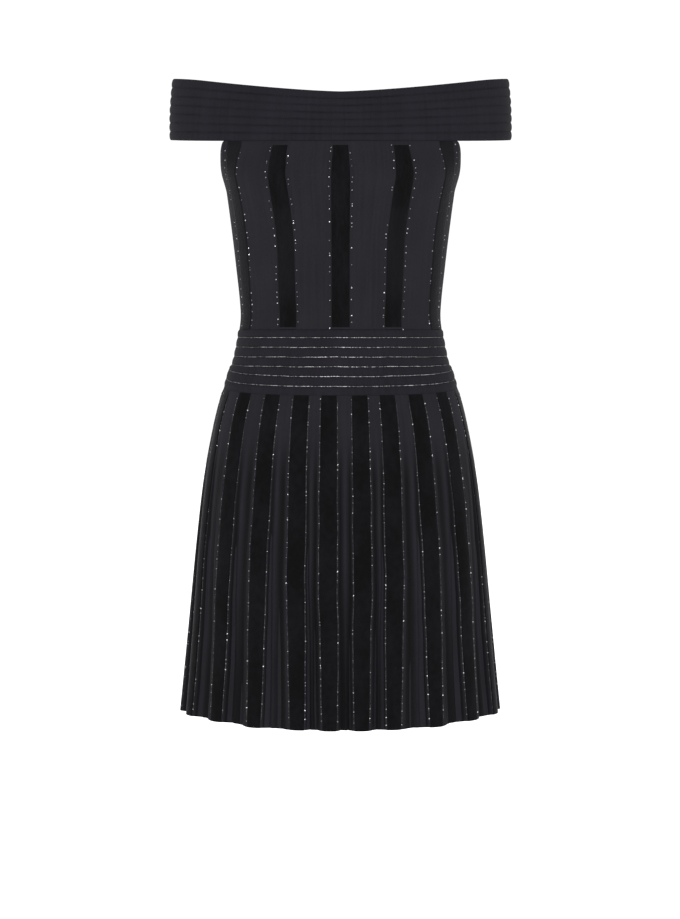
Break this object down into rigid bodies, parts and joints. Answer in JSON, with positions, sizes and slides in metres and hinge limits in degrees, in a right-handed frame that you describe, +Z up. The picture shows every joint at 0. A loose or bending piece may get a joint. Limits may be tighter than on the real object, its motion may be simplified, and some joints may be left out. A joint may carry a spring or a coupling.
{
  "type": "off-shoulder dress",
  "caption": "Short off-shoulder dress in thick black knit: ribbed band round chest and arms, striped bodice, ribbed waistband and flared pleated skirt with velvet stripes.",
  "frame": {"origin": "on the centre line of the figure, in the middle of the band round the chest and upper arms, where the wearer holds the dress up", "axes": "+Z up, the front of the dress faces -Y, +X to the right of someone who looks at the front"},
  "size_m": [0.407, 0.2817, 0.7601],
  "materials": {
    "ribbed_knit": "thick charcoal black knit with rounded crosswise ribs, matt, with a fine crosswise stitch",
    "striped_knit": "matt charcoal black knit with fine lengthwise ribs and deep black velvet stripes edged with thin silver thread and tiny silver beads"
  },
  "bodies": {
    "root": {"band_front": "ribbed_knit", "band_back": "ribbed_knit", "bodice_front": "striped_knit", "bodice_back": "striped_knit", "waistband_front": "ribbed_knit", "waistband_back": "ribbed_knit", "skirt_front": "striped_knit", "skirt_back": "striped_knit"}
  },
  "joints": []
}
